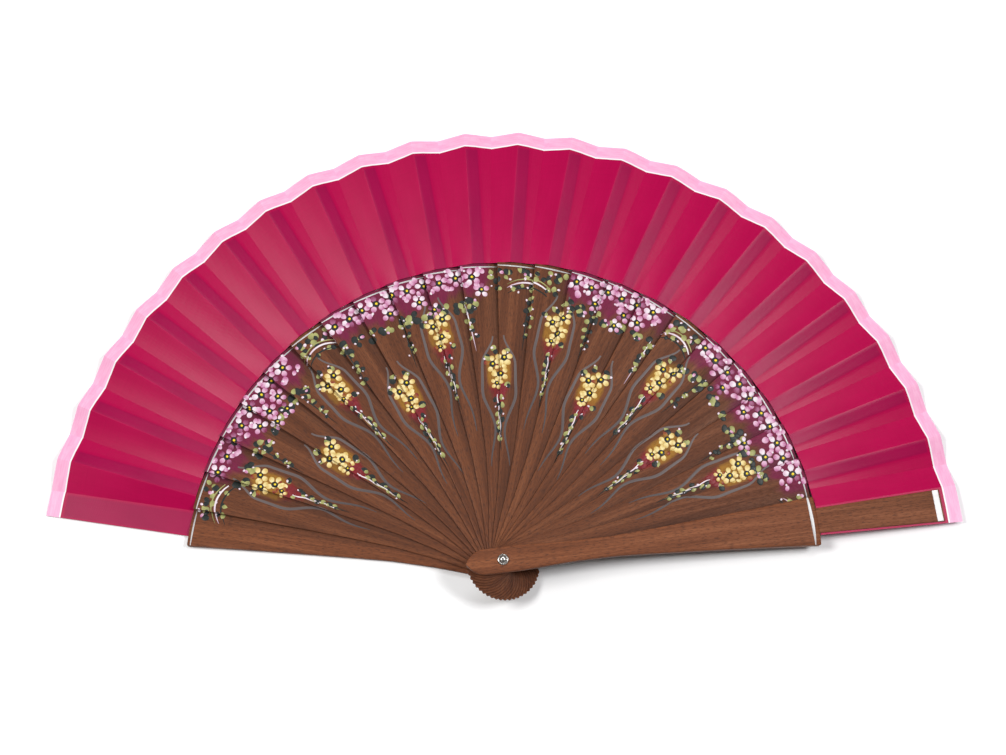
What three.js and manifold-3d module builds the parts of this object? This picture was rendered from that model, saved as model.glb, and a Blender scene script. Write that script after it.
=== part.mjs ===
// A folding hand fan, open: a rear guard, twenty-two thin ribs and a front guard, all turning
// on one rivet, with a pleated cloth leaf over their outer halves. Millimetres, +Z up.
// The origin is on the rivet's axis at the back of the rear guard.
import * as THREE from "three";
import { mergeVertices } from "three/addons/utils/BufferGeometryUtils.js";
import Module from "manifold-3d";

// --- driving dimensions -------------------------------------------------------------------
const RIB_COUNT = 22; // thin sticks between the two guards
const REAR_ANGLE = 171.8; // degrees, centre line of the rear guard
const FRONT_ANGLE = 7.9; // degrees, centre line of the front guard

const TAIL = 17; // rivet to the tip of the rounded head
const SHOULDER = 147; // rivet to the curved outer edge of a blade
const STICK_END = 207; // rivet to the outer end of the narrow stick
const RIM = 215; // rivet to the leaf's outer edge

const HEAD_HALF = 5.85; // half width of the head
const WAIST_HALF = 4.7; // half width of the slender part
const RIB_HALF = 12.3; // half width of a rib's blade at the shoulder
const GUARD_HALF = 11.4; // half width of a guard's blade at the shoulder
const STICK_HALF = 2.9; // half width of a rib's narrow stick
const STICK_SET = 3; // each rib's narrow stick lies this far to the raised side of its middle line
const REAR_STICK_HALF = 5.6; // half width of the rear guard's upper section
const FRONT_STICK_IN = 5.8; // half width of the front guard's upper section at the shoulder
const FRONT_STICK_OUT = 7.6; // half width of the front guard's upper section at its end

const RIB_T = 0.56; // thickness of a rib's blade
const STICK_T = 0.36; // thickness of a rib's narrow stick
const REAR_T = 2.6; // thickness of the rear guard at its middle
const FRONT_T = 3; // thickness of the front guard at its middle
const LAYER = 0.86; // spacing of the sticks along the rivet
const REAR_STICK_T = 0.82; // thickness of the rear guard's upper section
const FRONT_STICK_SET = 0.12; // its front face lies this far below the blade's
const FRONT_STICK_T = 0.7; // thickness of the front guard's upper section

const RIM_LEVEL = 2.5; // height of every rib's middle where it would meet the rim
const TWIST_SHOULDER = 0.15; // sideways slope of a blade at the shoulder
const TWIST_RIM = 0.42; // sideways slope of a stick, and of its pleat, at the rim

const LEAF_START = 148.6; // inner edge of the leaf
const LEAF_T = 0.3; // thickness of the cloth
const LEAF_CLEAR = 0.35; // from a rib's face to the cloth
const GUARD_CLEAR = 0.12; // from a guard's flat upper section to the cloth
const FOLD_OFFSET = 6.4; // from a stick's centre line to the pleat's ridge beside it
const FOLD_GAP = 0.15; // each gore stops this far from the ridge line
const LEAF_PROUD = 0.9; // the leaf shows this far past a guard's upper section

const PIN_RADIUS = 1.1;
const PIN_HEAD_RADIUS = 1.7;
const HOLE_RADIUS = 1.45;
const WASHER_RADIUS = 2.5;
const WASHER_HOLE = 1.4;
const WASHER_T = 0.45;
const POCKET_RADIUS = 2.9; // pocket in the rear guard that holds the rivet's back end
const POCKET_DEPTH = 1.15;
const METAL_GAP = 0.3;

// --- places of the sticks -----------------------------------------------------------------
const LAST = RIB_COUNT + 1; // number of the front guard; the rear guard is number 0
const STEP = THREE.MathUtils.degToRad((REAR_ANGLE - FRONT_ANGLE) / LAST);
const HALF_RIB_T = RIB_T / 2;
// From each guard's nesting plane, which continues the ribs' middle planes, to its flat outer face.
const REAR_FAR = REAR_T - HALF_RIB_T;
const FRONT_FAR = FRONT_T - HALF_RIB_T;

const angleOf = (k) => THREE.MathUtils.degToRad(REAR_ANGLE) - STEP * k;
const levelOf = (k) => REAR_FAR + LAYER * k; // height of a stick's middle plane at the rivet
const dipOf = (k) => (k === 0 ? 0 : (levelOf(k) - RIM_LEVEL) / RIM); // slope down to the rim

// Height of stick k's middle line above the table at a distance r from the rivet.
const middleHeight = (k, r) => levelOf(k) - ((levelOf(k) - RIM_LEVEL) / RIM) * r;

// Sideways slope of every stick. All sticks share it, so they nest when the fan is closed.
function twist(r) {
  if (r <= 0) return 0;
  if (r < SHOULDER) return TWIST_SHOULDER * (r / SHOULDER) ** 1.5;
  const along = (r - SHOULDER) / (RIM - SHOULDER);
  return TWIST_SHOULDER + (TWIST_RIM - TWIST_SHOULDER) * along ** 0.6;
}

// Half width of a stick from its rounded tail to the shoulder.
function halfWidth(r, bladeHalf) {
  const roundEnd = 9;
  const neckStart = 4;
  const neckEnd = 35;
  const flareStart = 50;
  if (r < roundEnd - TAIL) {
    const past = (roundEnd - TAIL - r) / roundEnd;
    return HEAD_HALF * Math.max(0.08, 1 - past * past) ** 0.75;
  }
  if (r < flareStart) {
    return THREE.MathUtils.lerp(HEAD_HALF, WAIST_HALF, THREE.MathUtils.smoothstep(r, neckStart, neckEnd));
  }
  const flare = (r - flareStart) / (SHOULDER - flareStart);
  return WAIST_HALF + (bladeHalf - WAIST_HALF) * flare ** 1.15;
}

const frontStickHalf = (r) =>
  THREE.MathUtils.mapLinear(r, SHOULDER, STICK_END, FRONT_STICK_IN, FRONT_STICK_OUT);

// --- solids -------------------------------------------------------------------------------
const wasm = await Module();
wasm.setup();

// A closed solid through rings of equal length, each ring a loop of [x, y, z] points. The quads
// from column `turned` on are split along their other diagonal.
function loft(rings, turned = Infinity) {
  const size = rings[0].length;
  const positions = rings.flat(2);
  const index = [];
  for (let i = 0; i + 1 < rings.length; i++) {
    for (let j = 0; j < size; j++) {
      const a = i * size + j;
      const b = i * size + ((j + 1) % size);
      if (j < turned) index.push(a, b, a + size, b, b + size, a + size);
      else index.push(a, b, b + size, a, b + size, a + size);
    }
  }
  const end = (rings.length - 1) * size;
  for (let j = 1; j + 1 < size; j++) {
    index.push(0, j + 1, j, end, end + j, end + j + 1);
  }
  const geometry = new THREE.BufferGeometry();
  geometry.setAttribute("position", new THREE.Float32BufferAttribute(positions, 3));
  geometry.setIndex(index);
  return geometry;
}

function toSolid(geometry) {
  const bare = geometry.clone();
  bare.deleteAttribute("normal");
  bare.deleteAttribute("uv");
  const merged = mergeVertices(bare, 1e-4);
  const mesh = new wasm.Mesh({
    numProp: 3,
    vertProperties: Float32Array.from(merged.attributes.position.array),
    triVerts: Uint32Array.from(merged.index.array),
  });
  return new wasm.Manifold(mesh);
}

function toGeometry(solid) {
  const mesh = solid.getMesh();
  const geometry = new THREE.BufferGeometry();
  geometry.setAttribute("position", new THREE.BufferAttribute(mesh.vertProperties, 3));
  geometry.setIndex(new THREE.BufferAttribute(mesh.triVerts, 1));
  geometry.computeVertexNormals();
  return geometry;
}

// An upright round cutter between two heights.
function drill(radius, low, high, sides = 16) {
  const cutter = new THREE.CylinderGeometry(radius, radius, high - low, sides);
  cutter.rotateX(Math.PI / 2);
  cutter.translate(0, 0, (low + high) / 2);
  return toSolid(cutter);
}

// One blade with its middle line along +X. top and bottom give the two faces' heights at (r, y).
function blade(bladeHalf, top, bottom) {
  const stations = [-17, -15.8, -13.5, -10.5, -8, 4, 14, 24, 35, 50, 66, 82, 98, 114, 131, SHOULDER];
  const rings = stations.map((r) => {
    const w = halfWidth(r, bladeHalf);
    const bow = r > 0 ? (r / SHOULDER) ** 2 / (2 * SHOULDER) : 0; // rounds the outer edge about the rivet
    const point = (y, face) => [r - bow * y * y, y, face(r, y)];
    return [
      point(w, top), point(0, top), point(-w, top),
      point(-w, bottom), point(0, bottom), point(w, bottom),
    ];
  });
  return toSolid(loft(rings));
}

// The narrow outer section of a stick, rooted inside its blade, with its middle at y = set.
function upper(halfAt, top, bottom, set = 0) {
  const root = SHOULDER - 8;
  const stations = [root, SHOULDER, 156, 168, 186, STICK_END];
  const rings = stations.map((r) => {
    const left = set + halfAt(r);
    const right = set - halfAt(r);
    return [
      [r, left, top(r, left)], [r, right, top(r, right)],
      [r, right, bottom(r, right)], [r, left, bottom(r, left)],
    ];
  });
  return toSolid(loft(rings));
}

const tilted = (offset) => (r, y) => twist(r) * y + offset;
const level = (offset) => () => offset;

function ribGeometry() {
  const body = blade(RIB_HALF, tilted(HALF_RIB_T), tilted(-HALF_RIB_T));
  const stick = upper(() => STICK_HALF, tilted(STICK_T / 2), tilted(-STICK_T / 2), STICK_SET);
  return toGeometry(body.add(stick).subtract(drill(HOLE_RADIUS, -RIB_T, RIB_T)));
}

function rearGuardGeometry() {
  const body = blade(GUARD_HALF, tilted(HALF_RIB_T), level(-REAR_FAR));
  const stick = upper(() => REAR_STICK_HALF, level(REAR_STICK_T - REAR_FAR), level(-REAR_FAR));
  const pocket = drill(POCKET_RADIUS, -REAR_T, POCKET_DEPTH - REAR_FAR, 24);
  return toGeometry(body.add(stick).subtract(drill(HOLE_RADIUS, -REAR_T, REAR_T)).subtract(pocket));
}

function frontGuardGeometry() {
  const body = blade(GUARD_HALF, level(FRONT_FAR), tilted(-HALF_RIB_T));
  const top = FRONT_FAR - FRONT_STICK_SET;
  const stick = upper(frontStickHalf, level(top), level(top - FRONT_STICK_T));
  return toGeometry(body.add(stick).subtract(drill(HOLE_RADIUS, -FRONT_T, 2 * FRONT_T)));
}

function turned(profile, sides = 24) {
  const geometry = new THREE.LatheGeometry(profile.map(([r, z]) => new THREE.Vector2(r, z)), sides);
  geometry.rotateX(Math.PI / 2);
  return geometry;
}

const FRONT_FACE = levelOf(LAST) + FRONT_FAR;
const FRONT_TILT_RISE = WASHER_RADIUS * dipOf(LAST);
const WASHER_LEVEL = FRONT_FACE + FRONT_TILT_RISE + METAL_GAP;

// The pin with a thin flat head at the back and a domed head at the front.
function rivetGeometry() {
  const backHead = 0.4;
  const domeStart = WASHER_LEVEL + WASHER_T + 0.05;
  const domeHeight = 1.1;
  const dome = [0, 18, 36, 54, 72].map((d) => {
    const a = THREE.MathUtils.degToRad(d);
    return [PIN_HEAD_RADIUS * Math.cos(a), domeStart + domeHeight * Math.sin(a)];
  });
  return turned([
    [0, 0], [PIN_HEAD_RADIUS, 0], [PIN_HEAD_RADIUS, backHead], [PIN_RADIUS, backHead],
    [PIN_RADIUS, domeStart], ...dome, [0, domeStart + domeHeight],
  ]);
}

function washerGeometry(low) {
  const high = low + WASHER_T;
  return turned([
    [WASHER_HOLE, low], [WASHER_RADIUS, low], [WASHER_RADIUS, low + WASHER_T / 2],
    [WASHER_RADIUS - 0.3, high], [WASHER_HOLE, high], [WASHER_HOLE, low],
  ]);
}

// --- the leaf -----------------------------------------------------------------------------
// A point on the underside of the cloth as { angle, z }, r from the rivet.
function ridge(k, r) {
  return {
    angle: angleOf(k) + FOLD_OFFSET / r,
    z: middleHeight(k, r) + twist(r) * FOLD_OFFSET + HALF_RIB_T + LEAF_CLEAR,
  };
}

// The valley between sticks k - 1 and k.
function valley(k, r) {
  const start = ridge(k - 1, r);
  return { angle: start.angle - STEP / 2, z: start.z - twist(r) * r * STEP / 2 };
}

// The cloth's outline between sticks k - 1 and k, from its left edge to its right edge.
function gorePath(k, r) {
  const path = [];
  if (k === 1) {
    const z = REAR_STICK_T + GUARD_CLEAR;
    path.push({ angle: angleOf(0) + (REAR_STICK_HALF + LEAF_PROUD) / r, z });
    path.push({ angle: angleOf(0) - REAR_STICK_HALF / r, z });
  } else {
    const start = ridge(k - 1, r);
    path.push({ angle: start.angle - FOLD_GAP / r, z: start.z - twist(r) * FOLD_GAP });
  }
  if (k > 1) path.push(valley(k, r));
  if (k === LAST) {
    const half = frontStickHalf(r) + LEAF_PROUD;
    const under = FRONT_FAR - FRONT_STICK_SET - FRONT_STICK_T;
    const z = middleHeight(LAST, r) + under - GUARD_CLEAR - LEAF_T;
    path.push({ angle: angleOf(LAST) + half / r, z });
    path.push({ angle: angleOf(LAST) - half / r, z });
  } else {
    const end = ridge(k, r);
    path.push({ angle: end.angle + FOLD_GAP / r, z: end.z - twist(r) * FOLD_GAP });
  }
  return path;
}

function goreGeometry(k) {
  const stations = [LEAF_START, 153, 158, 165, 172, 182, 192, 203, RIM];
  const columns = gorePath(k, RIM).length;
  const rings = stations.map((r) => {
    const path = gorePath(k, r);
    const at = (p, lift) => [r * Math.cos(p.angle), r * Math.sin(p.angle), p.z + lift];
    return [...path.map((p) => at(p, LEAF_T)), ...path.toReversed().map((p) => at(p, 0))];
  });
  return toGeometry(toSolid(loft(rings, columns)));
}

// --- materials ----------------------------------------------------------------------------
const finish = (color, roughness, metalness) =>
  new THREE.MeshStandardMaterial({ color, roughness, metalness });
const guardWood = () => finish(0x85573b, 0.5, 0);
const ribWood = () => finish(0x7b4b32, 0.55, 0);
const silverMetal = () => finish(0xc9c6c2, 0.25, 1);
const leafCloth = () => finish(0xb51552, 0.85, 0);

// --- the assembly -------------------------------------------------------------------------
const fan = new THREE.Group();
fan.name = "hand_fan";

function addMesh(name, geometry, material) {
  const mesh = new THREE.Mesh(geometry, material);
  mesh.name = name;
  fan.add(mesh);
  return mesh;
}

function addStick(k, name, geometry, material) {
  const stick = addMesh(name, geometry, material);
  stick.position.set(0, 0, levelOf(k));
  stick.rotation.order = "ZYX";
  stick.rotation.set(0, dipOf(k), angleOf(k));
}

const two = (k) => String(k).padStart(2, "0");

addStick(0, "rear_guard", rearGuardGeometry(), guardWood());
const ribShape = ribGeometry();
for (let k = 1; k <= RIB_COUNT; k++) addStick(k, `rib_${two(k)}`, ribShape, ribWood());
addStick(LAST, "front_guard", frontGuardGeometry(), guardWood());

for (let k = 1; k <= LAST; k++) addMesh(`leaf_gore_${two(k)}`, goreGeometry(k), leafCloth());

const REAR_WASHER_LEVEL = 0.5;
addMesh("rivet", rivetGeometry(), silverMetal());
addMesh("front_washer", washerGeometry(WASHER_LEVEL), silverMetal());
addMesh("rear_washer", washerGeometry(REAR_WASHER_LEVEL), silverMetal());

export default fan;
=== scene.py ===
"""Hand fan: painted wooden sticks on one rivet, with a pleated cloth leaf."""

import math
import random

import bmesh
import bpy
from bpy.props import FloatProperty, FloatVectorProperty, IntProperty, PointerProperty
from bpy.types import Operator, Panel, PropertyGroup
from mathutils import Matrix, Vector


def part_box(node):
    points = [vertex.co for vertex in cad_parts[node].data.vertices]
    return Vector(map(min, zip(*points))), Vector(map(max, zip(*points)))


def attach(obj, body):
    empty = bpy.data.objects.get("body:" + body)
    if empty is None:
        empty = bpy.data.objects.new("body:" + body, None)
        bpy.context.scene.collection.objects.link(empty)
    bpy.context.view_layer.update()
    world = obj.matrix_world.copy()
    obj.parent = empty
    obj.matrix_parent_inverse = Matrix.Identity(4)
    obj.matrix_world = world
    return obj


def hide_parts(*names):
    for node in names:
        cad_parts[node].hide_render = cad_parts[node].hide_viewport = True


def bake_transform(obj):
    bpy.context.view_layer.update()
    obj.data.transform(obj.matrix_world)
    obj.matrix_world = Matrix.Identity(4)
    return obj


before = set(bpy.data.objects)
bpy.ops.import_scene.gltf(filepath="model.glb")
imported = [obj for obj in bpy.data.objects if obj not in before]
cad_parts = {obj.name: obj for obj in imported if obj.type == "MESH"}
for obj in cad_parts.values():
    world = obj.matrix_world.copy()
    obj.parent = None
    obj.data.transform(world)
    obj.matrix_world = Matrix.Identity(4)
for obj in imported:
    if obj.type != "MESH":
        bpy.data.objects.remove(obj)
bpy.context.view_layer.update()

bl_info = {
    "name": "Hand Fan",
    "version": (1, 0, 0),
    "blender": (4, 5, 0),
    "location": "3D View > Sidebar > Hand Fan",
    "description": "Builds a painted folding hand fan on its packed frame",
    "category": "Add Mesh",
}

MM = 0.001
LAST = 23  # number of the front guard; the rear guard is number 0


# --- settings -------------------------------------------------------------------------------
def length(name, default_mm, description):
    """A length setting whose default is given in millimetres."""
    return FloatProperty(name=name, description=description, default=default_mm * MM, min=0, unit="LENGTH",
                         precision=5)


def colour(name, default, description):
    return FloatVectorProperty(name=name, description=description, default=default, size=3, min=0, max=1,
                               subtype="COLOR")


class FanSizes(PropertyGroup):
    """The sizes of the sticks and the leaf, as the frame has them."""

    rear_angle: FloatProperty(name="Rear guard angle", description="Direction of the rear guard",
                              default=math.radians(171.8), subtype="ANGLE")
    front_angle: FloatProperty(name="Front guard angle", description="Direction of the front guard",
                               default=math.radians(7.9), subtype="ANGLE")
    tail: length("Tail", 17, "Rivet to the tip of the rounded head")
    shoulder: length("Shoulder", 147, "Rivet to the curved outer edge of a blade")
    stick_end: length("Stick end", 207, "Rivet to the outer end of the narrow stick")
    rim: length("Rim", 215, "Rivet to the leaf's outer edge")
    head_half: length("Head", 5.85, "Half width of the head")
    head_round: length("Head end", 9, "Length of the head's rounded end")
    waist_half: length("Waist", 4.7, "Half width of the slender part")
    rib_half: length("Rib blade", 12.3, "Half width of a rib at the shoulder")
    guard_half: length("Guard blade", 11.4, "Half width of a guard at the shoulder")
    stick_half: length("Rib stick", 2.9, "Half width of a rib's narrow stick")
    stick_set: length("Stick setting", 3, "A rib's narrow stick lies this far to the raised side")
    rear_stick_half: length("Rear upper section", 5.6, "Half width of the rear guard's upper section")
    front_stick_in: length("Front upper section, inner", 5.8, "Half width at the shoulder")
    front_stick_out: length("Front upper section, outer", 7.6, "Half width at the end")
    rib_t: length("Rib thickness", 0.56, "Thickness of a rib's blade")
    stick_t: length("Stick thickness", 0.36, "Thickness of a rib's narrow stick")
    rear_t: length("Rear guard thickness", 2.6, "Thickness of the rear guard at its middle")
    front_t: length("Front guard thickness", 3, "Thickness of the front guard at its middle")
    layer: length("Layer", 0.86, "Spacing of the sticks along the rivet")
    rear_stick_t: length("Rear upper thickness", 0.82, "Thickness of the rear guard's upper section")
    front_stick_set: length("Front upper setback", 0.12, "The upper section's face lies this far lower")
    front_stick_t: length("Front upper thickness", 0.7, "Thickness of the front guard's upper section")
    rim_level: length("Rim level", 2.5, "Height of every rib's middle line at the rim")
    twist_shoulder: FloatProperty(name="Shoulder slope", default=0.15,
                                  description="Sideways slope of a blade at the shoulder")
    twist_rim: FloatProperty(name="Rim slope", default=0.42,
                             description="Sideways slope of a pleat at the rim")
    cloth_t: length("Cloth thickness", 0.22, "Thickness of the leaf")
    fold_offset: length("Fold offset", 6.4, "Stick's centre line to the pleat's ridge beside it")
    border: length("Border", 6.2, "Width of the leaf's pale border")
    hole: length("Rivet hole", 1.45, "Radius of the rivet's hole in every stick")
    seat: length("Washer seat", 2.9, "Radius of the rear guard's seat for the washer")
    seat_depth: length("Washer seat depth", 1.15, "Depth of the rear guard's seat for the washer")


class FanColours(PropertyGroup):
    """The colours of the woods, the cloth and the paints."""

    wood_light: colour("Light wood", (0.262, 0.087, 0.031), "Lightest grain")
    wood_mid: colour("Wood", (0.160, 0.047, 0.0155), "Main colour of the wood")
    wood_dark: colour("Dark wood", (0.045, 0.015, 0.008), "Pores and dark streaks")
    cloth: colour("Cloth", (0.375, 0.0003, 0.055), "Main colour of the leaf")
    stripe: colour("Stripe", (0.215, 0.001, 0.050), "Where a stick shows through the cloth")
    border: colour("Border", (0.79, 0.34, 0.53), "Painted border of the leaf")
    white: colour("White", (0.78, 0.71, 0.75), "White paint")
    pink: colour("Pink", (0.42, 0.12, 0.26), "Pink petals")
    lilac: colour("Lilac", (0.34, 0.11, 0.22), "Shaded petals")
    plum: colour("Plum", (0.155, 0.006, 0.042), "Wash behind the pink flowers")
    black: colour("Black", (0.008, 0.009, 0.009), "Flower centres")
    yellow: colour("Yellow", (0.90, 0.68, 0.02), "Pollen dots")
    olive: colour("Olive", (0.36, 0.36, 0.13), "Olive buds")
    forest: colour("Forest", (0.010, 0.015, 0.013), "Dark leaves")
    cream: colour("Cream", (0.79, 0.67, 0.33), "Pale petals")
    ochre: colour("Ochre", (0.30, 0.135, 0.012), "Wash behind the pale flowers")
    red: colour("Red", (0.19, 0.006, 0.012), "Deep red below the pale flowers")
    grey: colour("Grey", (0.110, 0.084, 0.080), "Tendrils")
    silver: colour("Silver", (0.47, 0.455, 0.455), "Pearl lines")


class FanPlan(PropertyGroup):
    """How the painted decoration is laid out."""

    seed: IntProperty(name="Seed", description="Changes the hand-painted irregularity", default=11)
    drops: IntProperty(name="Pale bunches", default=11,
                       description="Number of teardrop bunches across the fan")
    drop_start: FloatProperty(name="First bunch", description="Direction of the first bunch",
                              default=math.radians(160.7), subtype="ANGLE")
    drop_step: FloatProperty(name="Bunch spacing", description="Turn from one bunch to the next",
                             default=math.radians(13.9), subtype="ANGLE")
    outer_drop: length("Outer bunches", 116, "Rivet to the middle of the outer bunches")
    inner_drop: length("Inner bunches", 93, "Rivet to the middle of the inner bunches")
    flower: length("Flower", 4.15, "Radius of a pink flower")


def sizes():
    return bpy.context.scene.fan_sizes


def colours():
    return bpy.context.scene.fan_colours


# --- the shape of a stick ---------------------------------------------------------------------
def smooth(x, low, high):
    t = min(1.0, max(0.0, (x - low) / (high - low)))
    return t * t * (3 - 2 * t)


def twist(r):
    """Sideways slope of every stick at a distance r from the rivet."""
    s = sizes()
    if r <= 0:
        return 0.0
    if r < s.shoulder:
        return s.twist_shoulder * (r / s.shoulder) ** 1.5
    along = (r - s.shoulder) / (s.rim - s.shoulder)
    return s.twist_shoulder + (s.twist_rim - s.twist_shoulder) * along**0.6


def half_width(r, blade_half, point):
    """Half width of a stick from its rounded tail to the shoulder; point is how pointed the tail is."""
    s = sizes()
    neck_start, neck_end, flare_start = 4 * MM, 35 * MM, 50 * MM
    if r < s.head_round - s.tail:
        past = (s.head_round - s.tail - r) / s.head_round
        return s.head_half * max(0.03, 1 - past * past) ** point
    if r < flare_start:
        return s.head_half + (s.waist_half - s.head_half) * smooth(r, neck_start, neck_end)
    flare = (r - flare_start) / (s.shoulder - flare_start)
    return s.waist_half + (blade_half - s.waist_half) * flare**1.15


class Stick:
    """One stick of the open fan: number 0 is the rear guard and LAST the front guard."""

    def __init__(self, k):
        s = sizes()
        self.k = k
        self.step = (s.rear_angle - s.front_angle) / LAST
        self.angle = s.rear_angle - self.step * k
        self.level = s.rear_t - s.rib_t / 2 + s.layer * k
        self.slope = (self.level - s.rim_level) / s.rim
        self.dip = 0.0 if k == 0 else self.slope
        turn = Matrix.Rotation(self.angle, 4, "Z") @ Matrix.Rotation(self.dip, 4, "Y")
        self.matrix = Matrix.Translation((0, 0, self.level)) @ turn
        self.rear_far = s.rear_t - s.rib_t / 2
        self.front_far = s.front_t - s.rib_t / 2
        self.blade_half, self.point = (s.guard_half, 0.75) if k in (0, LAST) else (s.rib_half, 0.88)

    @property
    def body(self):
        if self.k == 0:
            return "rear_guard"
        return "front_guard" if self.k == LAST else f"rib_{self.k:02d}"

    def half(self, r):
        return half_width(r, self.blade_half, self.point)

    def top(self, r, y):
        """Height of the front face in the stick's own frame."""
        if self.k == LAST:
            return self.front_far
        return twist(r) * y + sizes().rib_t / 2

    def bottom(self, r, y):
        if self.k == 0:
            return -self.rear_far
        return twist(r) * y - sizes().rib_t / 2

    def middle(self, r):
        """Height of the middle line above the table."""
        return self.level - self.slope * r

    def upper(self):
        """Half width, front face and back face of the narrow outer section, and where its middle lies."""
        s = sizes()
        if self.k == 0:
            return ((lambda r: s.rear_stick_half), (lambda r, y: s.rear_stick_t - self.rear_far),
                    self.bottom, 0.0)
        if self.k == LAST:
            face = self.front_far - s.front_stick_set
            spread = (s.front_stick_out - s.front_stick_in) / (s.stick_end - s.shoulder)
            return ((lambda r: s.front_stick_in + spread * (r - s.shoulder)),
                    (lambda r, y: face), (lambda r, y: face - s.front_stick_t), 0.0)
        return ((lambda r: s.stick_half), (lambda r, y: twist(r) * y + s.stick_t / 2),
                (lambda r, y: twist(r) * y - s.stick_t / 2), s.stick_set)

    def visible(self, r):
        """The lowest and highest y of the face that shows in the open fan, and a little under the next."""
        high = self.half(r)
        if self.k == LAST:
            return -high, high
        cover = Stick(self.k + 1).half(r)
        tuck = 1.1 * MM
        return max(-high, cover - 2 * r * math.sin(self.step / 2) - tuck), high


# --- mesh helpers -----------------------------------------------------------------------------
def new_object(name, vertices, faces, uvs=None, materials=(), face_materials=None):
    """A mesh object; uvs holds one (across, along) pair for each corner of each face."""
    mesh = bpy.data.meshes.new(name)
    mesh.from_pydata([tuple(v) for v in vertices], [], faces)
    if uvs is not None:
        layer = mesh.uv_layers.new(name="Grain")
        layer.data.foreach_set("uv", [c for pair in uvs for c in pair])
    for material in materials:
        mesh.materials.append(material)
    if face_materials:
        mesh.polygons.foreach_set("material_index", face_materials)
    mesh.update()
    piece = bpy.data.objects.new(name, mesh)
    bpy.context.scene.collection.objects.link(piece)
    return piece


def face_out(piece):
    """Turns every face of a closed mesh to the outside."""
    work = bmesh.new()
    work.from_mesh(piece.data)
    bmesh.ops.recalc_face_normals(work, faces=work.faces)
    work.to_mesh(piece.data)
    work.free()


def shade(piece, degrees):
    piece.data.shade_smooth()
    piece.data.set_sharp_from_angle(angle=math.radians(degrees))


def cut_round_hole(piece, matrix, radius, low, high):
    """Cuts an upright round hole along the stick's own Z axis, and keeps the piece's UVs."""
    cutter = new_object("hole_cutter", *prism(radius, low, high, 32))
    cutter.matrix_world = matrix
    face_out(cutter)
    change = piece.modifiers.new("hole", "BOOLEAN")
    change.object, change.operation, change.solver = cutter, "DIFFERENCE", "EXACT"
    bpy.context.view_layer.update()
    depsgraph = bpy.context.evaluated_depsgraph_get()
    finished = bpy.data.meshes.new_from_object(piece.evaluated_get(depsgraph))
    piece.modifiers.clear()
    old = piece.data
    piece.data = finished
    bpy.data.meshes.remove(old)
    bpy.data.objects.remove(cutter, do_unlink=True)


def prism(radius, low, high, sides):
    """Vertices and faces of an upright round bar."""
    turns = [math.tau * i / sides for i in range(sides)]
    ring = [(radius * math.cos(a), radius * math.sin(a)) for a in turns]
    vertices = [(x, y, z) for z in (low, high) for x, y in ring]
    faces = [(i, (i + 1) % sides, (i + 1) % sides + sides, i + sides) for i in range(sides)]
    return vertices, faces + [tuple(range(sides))[::-1], tuple(range(sides, 2 * sides))]


def loft(rings):
    """Vertices and faces of a closed body through rings of equal length."""
    size = len(rings[0])
    vertices = [p for ring in rings for p in ring]
    faces = [tuple(range(size))]
    for i in range(len(rings) - 1):
        for j in range(size):
            a, b = i * size + j, i * size + (j + 1) % size
            faces.append((a, b, b + size, a + size))
    end = (len(rings) - 1) * size
    faces.append(tuple(range(end, end + size))[::-1])
    return vertices, faces


def section(w, top, bottom, edge, across):
    """One cross-section of a stick as (y, z) points, with rounded long edges."""
    ease = [(0.0, 1.0), (0.29, 0.29), (1.0, 0.0)]  # drop and inset round a corner, in edge radii
    inner = w - edge
    row = [inner - 2 * inner * j / across for j in range(across + 1)]
    ring = [(y, top(y)) for y in row]
    left, right = [], []
    for side, store in ((-1, right), (1, left)):
        rise = min(edge, 0.48 * (top(side * w) - bottom(side * w)))
        for drop, inset in ease[1:]:
            store.append((side * (w - inset * edge), top(side * (w - inset * edge)) - drop * rise))
        for drop, inset in ease[:0:-1]:
            store.append((side * (w - inset * edge), bottom(side * (w - inset * edge)) + drop * rise))
    ring += right
    ring += [(y, bottom(y)) for y in row[::-1]]
    ring += left[::-1]
    return ring


def stick_rings(stick, edge, across):
    """Rings of a whole stick in its own frame: round tail, blade, shoulder and narrow outer section."""
    s = sizes()
    stations = [-s.tail + s.head_round * (1 - math.cos(math.radians(a))) for a in range(7, 90, 9)]
    stations += [-s.tail + s.head_round + i * 3 * MM for i in range(5)]
    reach = stations[-1]
    count = 52
    stations += [reach + (s.shoulder - edge - reach) * (i / count) for i in range(1, count + 1)]
    half_up, top_up, bottom_up, middle = stick.upper()
    rings = []

    def add(r, w, top, bottom, bow, aside=0.0):
        cut = section(w, lambda y: top(r, y + aside), lambda y: bottom(r, y + aside),
                      min(edge, 0.4 * w), across)
        rings.append([(r - bow * y * y, y + aside, z) for y, z in cut])

    def bow_at(r):
        return (r / s.shoulder) ** 2 / (2 * s.shoulder) if r > 0 else 0.0

    for r in stations:
        add(r, stick.half(r), stick.top, stick.bottom, bow_at(r))
    for drop, inset in ((0.29, 0.29), (1.0, 0.0)):
        r = s.shoulder - inset * edge
        w = stick.half(r) - drop * edge * 0.6
        ease = min(drop * edge, 0.4 * s.rib_t)
        add(r, w, lambda q, y, e=ease: stick.top(q, y) - e,
            lambda q, y, e=ease: stick.bottom(q, y) + e, bow_at(r))
    out = s.shoulder + 0.02 * MM
    add(out, half_up(out), top_up, bottom_up, 0.0, middle)
    for i in range(1, 21):
        r = out + (s.stick_end - out) * i / 20
        add(r, half_up(r), top_up, bottom_up, 0.0, middle)
    return rings


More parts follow.
